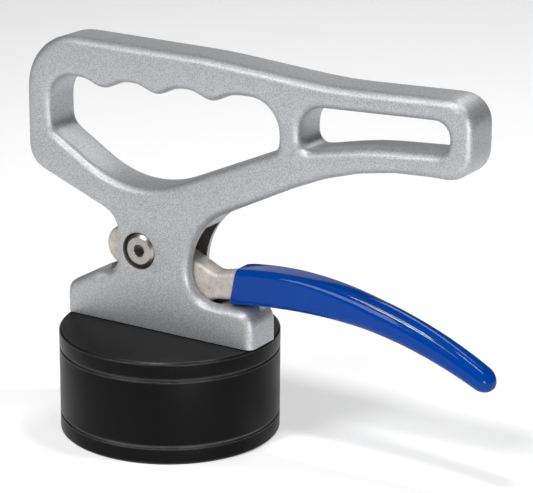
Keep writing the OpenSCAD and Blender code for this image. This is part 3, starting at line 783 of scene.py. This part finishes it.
class MAGNETHOLDER_OT_housing(bpy.types.Operator):
    """Turns the black housing with its fine grooves, and the ring, wear disc and seals under it"""

    bl_idname = "magnet_holder.housing"
    bl_label = "Magnet Housing"

    def execute(self, context):
        sizes = context.scene.magnet_holder_sizes
        self.shell(sizes)
        self.ring(sizes)
        self.disc()
        return {"FINISHED"}

    def shell(self, sizes):
        """Outer shell with a chamfered rim, one full groove and the upper half of the joint groove."""
        radius, top = SHELL_HIGH.x, SHELL_HIGH.z
        joint = SHELL_LOW.z
        deep = radius - sizes.groove_depth
        roof, head_room = 10 * MM, 5.6 * MM
        cavity, cavity_top = radius - SHELL_WALL, top - roof
        spigot, spigot_top = radius - SPIGOT_WALL + FIT, joint + 7.7 * MM
        groove_low = top - joint - sizes.groove
        fine, soft = 0.12 * MM, 0.2 * MM
        rim = sizes.rim_chamfer
        corners = [
            (0, cavity_top, 0), (cavity, cavity_top, 0), (cavity, spigot_top, 0),
            (spigot, spigot_top, 0), (spigot, joint, 0), (deep, joint, 0),
            (deep, joint + sizes.groove / 2, fine), (radius, joint + sizes.groove / 2, soft),
            (radius, groove_low, soft), (deep, groove_low, fine), (deep, groove_low + sizes.groove, fine),
            (radius, groove_low + sizes.groove, soft), (radius, top - rim, 0.3 * MM),
            (radius - rim, top, 0.3 * MM), (0, top, 0),
        ]
        bm = bmesh.new()
        lathe(bm, rounded_profile(corners), 192)
        piece = new_object("housing_body", bm, finish("black"))
        bush_hole, screw_hole, screw_head, dowel_deep = 4.52 * MM, 3.2 * MM, 5.38 * MM, 6 * MM
        cuts = [rod_cutter(PLUNGER_X, bush_hole, cavity_top - PAST, top + PAST)]
        for x in FOOT_SCREW_X:
            cuts.append(rod_cutter(x, screw_hole, cavity_top - PAST, top + PAST))
            cuts.append(rod_cutter(x, screw_head, cavity_top - PAST, cavity_top + head_room))
        for x in DOWEL_X:
            cuts.append(rod_cutter(x, DOWEL_HOLE, top - dowel_deep, top + PAST))
        carve(piece, cuts)
        smooth_by_angle(piece, 35)
        hand_over(piece, "root", "black_anodised", "housing_shell")

    def ring(self, sizes):
        """Screwed ring that closes the housing and holds the wear disc."""
        radius, joint = RING_HIGH.x, SHELL_LOW.z
        deep = radius - sizes.groove_depth
        inner = radius - 5.0 * MM + FIT
        fine, soft, chamfer, disc_room = 0.12 * MM, 0.2 * MM, 0.35 * MM, 1.5 * MM
        corners = [
            (inner, 0, 0.15 * MM), (radius - chamfer, 0, fine), (radius, chamfer, fine),
            (radius, joint - sizes.groove / 2, soft), (deep, joint - sizes.groove / 2, fine),
            (deep, joint - FIT, 0), (radius - SPIGOT_WALL, joint - FIT, 0),
            (radius - SPIGOT_WALL, RING_HIGH.z, 0), (radius - SHELL_WALL, RING_HIGH.z, 0),
            (radius - SHELL_WALL, disc_room, 0), (inner, disc_room, 0),
        ]
        bm = bmesh.new()
        lathe(bm, rounded_profile(corners), 192)
        piece = smooth_by_angle(new_object("housing_ring", bm, finish("black")), 35)
        hand_over(piece, "root", "black_anodised", "base_ring")

    def disc(self):
        """Wear disc with a softened rim and a chamfered hole for the plunger's tip."""
        low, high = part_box("face_plate")
        corners = [(0, low.z, 0), (high.x, low.z, 0.2 * MM), (high.x, high.z, 0), (0, high.z, 0)]
        bm = bmesh.new()
        lathe(bm, rounded_profile(corners), 160)
        piece = new_object("wear_disc", bm, finish("disc"))
        bore, chamfer, above = 4.4 * MM, 1.5 * MM, 3 * MM
        hole = [(0, -PAST), (5.9 * MM, -PAST), (bore, chamfer - PAST), (bore, above), (0, above)]
        carve(piece, [cutter(lathe, hole, 64, "Z", (PLUNGER_X, 0, 0))])
        smooth_by_angle(piece, 35)
        hand_over(piece, "root", "wear_disc", "face_plate")


class MAGNETHOLDER_OT_lever(bpy.types.Operator):
    """Casts the lever with its soft edges and the cam lobe"""

    bl_idname = "magnet_holder.lever"
    bl_label = "Lever"

    def execute(self, context):
        sizes = context.scene.magnet_holder_sizes
        loops = face_loops("lever_arm", LEVER_LOW.y)
        rings = [eased(resampled(hidden_end_cut(loops[0]), 0.6 * MM), 4)]
        bm = bmesh.new()
        rounded_plate(bm, rings, LEVER_HIGH.y, sizes.lever_round, 5, 2)
        piece = new_object("lever_casting", bm, finish("nickel"))
        bore = max((p - Vector((PIVOT.x, PIVOT.z))).length for p in loops[1])
        through = 6 * MM
        profile = [(0, -through), (bore, -through), (bore, through), (0, through)]
        carve(piece, [cutter(lathe, profile, 64, "Y", (PIVOT.x, 0, PIVOT.z))])
        smooth_by_angle(piece, 40)
        hand_over(piece, "lever", "lever_steel", "lever_arm")
        return {"FINISHED"}


class MAGNETHOLDER_OT_grip(bpy.types.Operator):
    """Dips the lever's grip: a long curved form whose rounded section tapers to a blunt tip"""

    bl_idname = "magnet_holder.grip"
    bl_label = "Vinyl Grip"

    def execute(self, context):
        sizes = context.scene.magnet_holder_sizes
        top, under = self.chains(face_loops("lever_grip", GRIP_LOW.y)[0])
        stations, crowding = 220, 1.6  # more rings towards the tip
        shares = [1.0 - (1.0 - k / stations) ** crowding for k in range(stations + 1)]
        top, under = self.softened(top), self.softened(under)
        line = [(self.along(top, t), self.along(under, t)) for t in shares]
        taper = 0.9 * MM
        bm = bmesh.new()
        rings = []
        for k, (t, (a, b)) in enumerate(zip(shares, line)):
            middle, depth = (a + b) / 2, (a - b).length
            left = (1.0 - t) * run_length_open(top)
            squeeze = self.tip_share(left, sizes.grip_tip)
            lip = min(1.0, 0.86 + 0.14 * math.sqrt(min(1.0, k / 4.0)))
            width = (GRIP_HIGH.y - taper * t) * squeeze * lip
            ripe = min(1.0, max(0.0, (t - 0.12) / 0.6))
            full = sizes.grip_round + (sizes.grip_full - sizes.grip_round) * ripe * ripe * (3.0 - 2.0 * ripe)
            radius = min(full, depth * 0.47, width * 0.97 / squeeze) * squeeze
            up = (a - b).normalized()
            tall = depth / 2 * squeeze * (0.97 + 0.03 * lip)
            rings.append(self.section(bm, middle, up, tall, width, radius))
        for low, high in zip(rings, rings[1:]):
            for i in range(len(low)):
                j = (i + 1) % len(low)
                bm.faces.new((low[i], low[j], high[j], high[i]))
        bm.faces.new(rings[0][::-1])
        bm.faces.new(rings[-1])
        piece = new_object("vinyl_grip", bm, finish("vinyl"))
        core = hidden_end_cut(face_loops("lever_arm", LEVER_LOW.y)[0])
        carve(piece, [self.core_cutter(core)])
        smooth_by_angle(piece, 50)
        hand_over(piece, "lever", "blue_vinyl", "lever_grip")
        return {"FINISHED"}

    @staticmethod
    def core_cutter(core):
        """The steel core's own outline from just outside the grip's start, as thick as the lever."""
        start = max(GRIP_LOW.x - 3.8 * MM, PIVOT.x + 30 * MM)
        inside = [(p.x, p.y) for p in core if p.x > start]
        return cutter(prism, inside, LEVER_LOW.y, LEVER_HIGH.y)

    @staticmethod
    def chains(ring):
        """The grip's top and under lines, each from its start to its tip."""
        start_top = max((p for p in ring if p.x < GRIP_LOW.x + 4 * MM), key=lambda p: p.y)
        start_under = min(ring, key=lambda p: p.x)
        end_top = max(ring, key=lambda p: p.x)
        order = ring[ring.index(start_top):] + ring[: ring.index(start_top)]
        if order.index(end_top) > order.index(start_under):
            order = order[:1] + order[:0:-1]
        cut = order.index(end_top)
        top = order[: cut + 1]
        under = order[cut + 1: order.index(start_under) + 1][::-1]
        return top, under

    def softened(self, chain):
        """The chain with its facets eased into one flowing curve, its two ends kept."""
        count, passes = 240, 80
        points = [self.along(chain, k / count) for k in range(count + 1)]
        for _ in range(passes):
            inner = zip(points, points[1:], points[2:])
            points[1:-1] = [p * 0.5 + (before + after) * 0.25 for before, p, after in inner]
        return points

    @staticmethod
    def along(chain, t):
        """The point at share t of a chain's length."""
        goal = t * run_length_open(chain)
        for a, b in zip(chain, chain[1:]):
            side = (b - a).length
            if goal <= side:
                return a.lerp(b, goal / side)
            goal -= side
        return chain[-1].copy()

    @staticmethod
    def tip_share(left, tip):
        """How much of the section is left near the tip: a quarter ellipse."""
        if left >= tip:
            return 1.0
        return max(0.12, math.sqrt(max(0.0, 1.0 - (1.0 - left / tip) ** 2)))

    @staticmethod
    def section(bm, middle, up, half_depth, half_width, radius, corner=14):
        """One ring of the grip: a rectangle with round corners, standing across the grip."""
        ring = []
        for side_y, side_up in ((-1, 1), (1, 1), (1, -1), (-1, -1)):
            for k in range(corner + 1):
                a = math.pi / 2 * k / corner
                first, second = (math.cos(a), math.sin(a))
                if side_y * side_up > 0:
                    first, second = second, first
                y = side_y * (half_width - radius + radius * first)
                rise = side_up * (half_depth - radius + radius * second)
                spot = middle + up * rise
                ring.append(bm.verts.new((spot.x, y, spot.y)))
        return ring


def run_length_open(chain):
    """Length of an open line of points."""
    return sum((b - a).length for a, b in zip(chain, chain[1:]))


def hidden_end_cut(ring):
    """The lever's outline without its square end, which would come through the grip's round tip."""
    return [p for p in ring if p.x < GRIP_HIGH.x - HIDDEN_END]


class MAGNETHOLDER_OT_pivot(bpy.types.Operator):
    """Turns the pivot's two flush heads with their polished rings, and the screw's socket"""

    bl_idname = "magnet_holder.pivot"
    bl_label = "Pivot"

    def execute(self, context):
        sizes = context.scene.magnet_holder_sizes
        self.screw(sizes)
        self.barrel(sizes)
        for node, name in (("pivot_bush", "bronze"), ("thrust_washers", "spring")):
            repaint(node, finish(name))
        return {"FINISHED"}

    @staticmethod
    def head(face, seat, radius, bevel):
        """Profile of a flush head from its seat to its face."""
        return [
            (radius, seat, 0.1 * MM), (radius, face - bevel * 0.62, 0.12 * MM),
            (radius - bevel, face, 0.12 * MM),
        ]

    def screw(self, sizes):
        """Screw with a hexagon socket, at the front."""
        face, seat = -SCREW_LOW.y, -SCREW_LOW.y - PIVOT_HEAD + 0.05 * MM
        radius = (SCREW_HIGH.x - SCREW_LOW.x) / 2
        shank = 3.0 * MM
        inner = -SCREW_HIGH.y
        corners = [(0, inner, 0), (shank, inner, 0.4 * MM), (shank, seat, 0)]
        corners += self.head(face, seat, radius, sizes.head_bevel) + [(0, face, 0)]
        bm = bmesh.new()
        profile = [(p[0], p[1]) for p in rounded_profile(corners)]
        lathe(bm, profile, 96, "Y", (PIVOT.x, 0, PIVOT.z))
        piece = new_object("pivot_screw_finished", bm, finish("bright"))
        spot = (PIVOT.x, PIVOT.z)
        cuts = [cutter(prism, hexagon(spot, sizes.socket, 12), -face - 1 * MM, -face + 3.4 * MM)]
        mouth = sizes.socket / 2 / math.cos(math.radians(30))
        under, over = face - 0.2 * MM, face + 0.1 * MM
        cone = [(0, under), (mouth - 0.26 * MM, under), (mouth + 0.04 * MM, over), (0, over)]
        cuts.append(cutter(lathe, cone, 48, "Y", (PIVOT.x, 0, PIVOT.z)))
        carve(piece, cuts)
        smooth_by_angle(piece, 20)
        hand_over(piece, "root", "bright_screw", "pivot_screw")

    def barrel(self, sizes):
        """Plain barrel that the screw runs into from the back."""
        low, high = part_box("pivot_barrel")
        face, seat = high.y, high.y - PIVOT_HEAD + 0.05 * MM
        radius = (high.x - low.x) / 2
        bore, tube = 3.02 * MM, 4.25 * MM
        bottom = low.y + 10.6 * MM
        corners = [(bore, low.y, 0), (tube, low.y, 0.3 * MM), (tube, seat, 0)]
        corners += self.head(face, seat, radius, sizes.head_bevel)
        corners += [(0, face, 0), (0, bottom, 0), (bore, bottom, 0)]
        bm = bmesh.new()
        profile = [(p[0], -p[1]) for p in rounded_profile(corners)]
        lathe(bm, profile, 96, "Y", (PIVOT.x, 0, PIVOT.z))
        piece = smooth_by_angle(new_object("pivot_barrel_finished", bm, finish("bright")), 20)
        hand_over(piece, "root", "bright_screw", "pivot_barrel")


class MAGNETHOLDER_OT_plunger(bpy.types.Operator):
    """Finishes the release plunger: its block under the lobe, its tip and its spring"""

    bl_idname = "magnet_holder.plunger"
    bl_label = "Plunger"

    def execute(self, context):
        self.block()
        self.tip()
        self.spring()
        finishes = {"plunger_rod": "steel", "retaining_clip": "oxide"}
        finishes.update({"spring_seat": "spring", "guide_bush": "bronze", "wiper_seal": "rubber"})
        for node, name in finishes.items():
            repaint(node, finish(name))
        return {"FINISHED"}

    def block(self):
        """Hardened block with softened edges, bored from below for the rod."""
        bm = bmesh.new()
        size = HEAD_HIGH - HEAD_LOW
        bmesh.ops.create_cube(bm, size=1.0)
        bmesh.ops.scale(bm, vec=size, verts=bm.verts)
        bmesh.ops.translate(bm, vec=(HEAD_LOW + HEAD_HIGH) / 2, verts=bm.verts)
        bmesh.ops.bevel(bm, geom=bm.edges[:], offset=0.45 * MM, segments=3, profile=0.5, affect="EDGES")
        piece = new_object("plunger_block", bm, finish("block"))
        cap = 1.5 * MM
        carve(piece, [rod_cutter(PLUNGER_X, ROD_HOLE, HEAD_LOW.z - PAST, HEAD_HIGH.z - cap)])
        smooth_by_angle(piece, 35)
        hand_over(piece, "plunger", "black_oxide", "plunger_head")

    def tip(self):
        """Round-nosed tip that pushes the steel off."""
        low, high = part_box("plunger_tip")
        radius = (high.x - low.x) / 2
        corners = [(0, low.z, 0), (radius, low.z, 1.2 * MM), (radius, high.z, 0.3 * MM)]
        socket_end = high.z - 4.02 * MM
        corners += [(ROD_HOLE, high.z, 0.2 * MM), (ROD_HOLE, socket_end, 0), (0, socket_end, 0)]
        bm = bmesh.new()
        lathe(bm, rounded_profile(corners), 64, "Z", ((low.x + high.x) / 2, 0, 0))
        piece = smooth_by_angle(new_object("plunger_nose", bm, finish("oxide")), 35)
        hand_over(piece, "plunger", "black_oxide", "plunger_tip")

    def spring(self):
        """Round wire wound as a helix, one closed turn at each end."""
        low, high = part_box("plunger_spring")
        wire, turns, per_turn, sides = 0.5 * MM, 4.5, 28, 12
        coil, x = (high.x - low.x) / 2 - wire, (low.x + high.x) / 2
        bottom, rise = low.z + wire, high.z - low.z - 2 * wire
        steps = round(per_turn * (turns + 2))
        bm = bmesh.new()
        rings = []
        for i in range(steps + 1):
            turned = i / per_turn
            a = 2 * math.pi * turned
            z = bottom + rise * min(1.0, max(0.0, (turned - 1.0) / turns))
            thick = wire * (0.72 + 0.28 * min(1.0, turned, (steps - i) / per_turn))
            ring = []
            for k in range(sides):
                b = 2 * math.pi * k / sides
                reach = coil + thick * math.cos(b)
                spot = (x + reach * math.cos(a), reach * math.sin(a), z + thick * math.sin(b))
                ring.append(bm.verts.new(spot))
            rings.append(ring)
        for near, far in zip(rings, rings[1:]):
            for k in range(sides):
                m = (k + 1) % sides
                bm.faces.new((near[k], near[m], far[m], far[k]))
        bm.faces.new(rings[0])
        bm.faces.new(rings[-1])
        piece = smooth_by_angle(new_object("return_spring", bm, finish("spring")), 50)
        hand_over(piece, "root", "spring_steel", "plunger_spring")
        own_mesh(piece)


class MAGNETHOLDER_OT_inner_parts(bpy.types.Operator):
    """Finishes the magnet stack and the fasteners inside the housing"""

    bl_idname = "magnet_holder.inner_parts"
    bl_label = "Inner Parts"

    def execute(self, context):
        finishes = {
            "back_plate": "steel", "pole_shoes": "steel", "magnets": "magnet", "magnet_holder": "spacer",
            "stack_screws": "oxide", "foot_screws": "oxide", "lock_washers": "spring", "dowel_pins": "steel",
            "o_ring": "rubber",
        }
        for node, name in finishes.items():
            repaint(node, finish(name))
        return {"FINISHED"}


class MAGNETHOLDER_OT_stage(bpy.types.Operator):
    """Lays the pale floor, hangs the soft lights and sets up the camera"""

    bl_idname = "magnet_holder.stage"
    bl_label = "Stage"

    def execute(self, context):
        stage = context.scene.magnet_holder_stage
        self.floor(stage)
        self.daylight(context, stage)
        aim = Vector((0.03, 0.0, 0.07))
        self.softbox("front_softbox", aim, (-0.4, -1.18, 0.87), (0.5, 0.6), 11.0)
        self.softbox("right_softbox", aim, (1.0, -0.75, 0.12), (0.4, 0.4), 8.5)
        self.softbox("overhead_softbox", aim, (0.03, -0.44, 1.22), (0.34, 0.14), 7.5)
        self.softbox("side_overhead_softbox", aim, (0.5, 0.14, 1.12), (0.14, 0.3), 4.5)
        self.softbox("back_softbox", aim, (0.07, 0.86, 0.92), (0.5, 0.3), 3.0)
        self.softbox("low_back_softbox", aim, (-0.72, 1.18, 0.52), (0.9, 0.4), 0.9)
        self.camera(context, stage)
        context.scene.view_settings.view_transform = "Standard"
        return {"FINISHED"}

    def floor(self, stage):
        """A wide pale sheet that the holder stands on."""
        bm = bmesh.new()
        bmesh.ops.create_grid(bm, x_segments=8, y_segments=8, size=6.0)
        bmesh.ops.translate(bm, vec=(0, 0, -0.02 * MM), verts=bm.verts)
        paint = Paint("pale_floor", Roughness=0.6, Specular_IOR_Level=0.2, Emission_Strength=0.2)
        cloud = paint.noise(0.25, 2.0, 0.5)
        dim = tuple(0.985 * c for c in stage.floor)
        paint.feed("Base Color", paint.mix(cloud, dim, stage.floor))
        paint.surface.inputs["Emission Color"].default_value = (1.0, 1.0, 1.0, 1.0)
        new_object("floor", bm, paint.material)

    def daylight(self, context, stage):
        """White light all round, strongest from above and weakest from below the horizon."""
        world = bpy.data.worlds.new("studio")
        world.use_nodes = True
        writer = NodeWriter(world.node_tree)
        way = writer.node("ShaderNodeTexCoord", out="Generated")
        height = writer.node("ShaderNodeSeparateXYZ", None, {0: way}, "Z")
        glow = height.above(-0.05, 0.75) * (stage.daylight * 0.55) + stage.daylight * 0.45
        sky = world.node_tree.nodes["Background"]
        world.node_tree.links.new(glow.socket, sky.inputs["Strength"])
        context.scene.world = world

    def softbox(self, name, aim, spot, size, power):
        """One soft rectangular light that faces the holder."""
        light = bpy.data.lights.new(name, "AREA")
        light.shape = "RECTANGLE"
        light.size, light.size_y = size
        light.energy = power
        lamp = bpy.data.objects.new(name, light)
        lamp.location = spot
        lamp.rotation_euler = (aim - Vector(spot)).to_track_quat("-Z", "Y").to_euler()
        bpy.context.scene.collection.objects.link(lamp)

    def camera(self, context, stage):
        """Camera at its distance and angles, aimed beside the housing's axis and rolled a little."""
        yaw, tilt, roll = stage.azimuth, stage.elevation, stage.roll
        back = Vector((math.sin(yaw) * math.cos(tilt), -math.cos(yaw) * math.cos(tilt), math.sin(tilt)))
        right = Vector((math.cos(yaw), math.sin(yaw), 0.0))
        up = back.cross(right)
        level, upright = right, up
        right = math.cos(roll) * level + math.sin(roll) * upright
        up = math.cos(roll) * upright - math.sin(roll) * level
        place = back * stage.distance + right * stage.aim_right + up * stage.aim_up
        lens = bpy.data.cameras.new("camera")
        lens.lens = stage.lens / MM
        lens.sensor_width = 36.0
        lens.clip_start = 0.05
        lens.clip_end = 50.0
        camera = bpy.data.objects.new("camera", lens)
        camera.matrix_world = Matrix.Translation(place) @ Matrix((right, up, back)).transposed().to_4x4()
        context.scene.collection.objects.link(camera)
        context.scene.camera = camera


class MAGNETHOLDER_PT_panel(bpy.types.Panel):
    """Lists the pieces of the magnet holder"""

    bl_idname = "MAGNETHOLDER_PT_panel"
    bl_label = "Magnet Holder"
    bl_space_type = "VIEW_3D"
    bl_region_type = "UI"
    bl_category = "Magnet Holder"

    def draw(self, context):
        for operator in OPERATORS:
            self.layout.operator(operator.bl_idname)
        scene = context.scene
        for group in (scene.magnet_holder_sizes, scene.magnet_holder_colours, scene.magnet_holder_stage):
            for key in group.bl_rna.properties.keys():
                if key not in ("name", "rna_type"):
                    self.layout.prop(group, key)


OPERATORS = (
    MAGNETHOLDER_OT_stage,
    MAGNETHOLDER_OT_handle,
    MAGNETHOLDER_OT_housing,
    MAGNETHOLDER_OT_lever,
    MAGNETHOLDER_OT_grip,
    MAGNETHOLDER_OT_pivot,
    MAGNETHOLDER_OT_plunger,
    MAGNETHOLDER_OT_inner_parts,
)
GROUPS = (MagnetHolderSizes, MagnetHolderColours, MagnetHolderStage)


def register():
    for item in GROUPS + OPERATORS + (MAGNETHOLDER_PT_panel,):
        bpy.utils.register_class(item)
    bpy.types.Scene.magnet_holder_sizes = bpy.props.PointerProperty(type=MagnetHolderSizes)
    bpy.types.Scene.magnet_holder_colours = bpy.props.PointerProperty(type=MagnetHolderColours)
    bpy.types.Scene.magnet_holder_stage = bpy.props.PointerProperty(type=MagnetHolderStage)


def unregister():
    del bpy.types.Scene.magnet_holder_stage
    del bpy.types.Scene.magnet_holder_colours
    del bpy.types.Scene.magnet_holder_sizes
    for item in reversed(GROUPS + OPERATORS + (MAGNETHOLDER_PT_panel,)):
        bpy.utils.unregister_class(item)


def main():
    register()
    for operator in OPERATORS:
        family, action = operator.bl_idname.split(".")
        getattr(getattr(bpy.ops, family), action)()


if __name__ == "__main__":
    main()
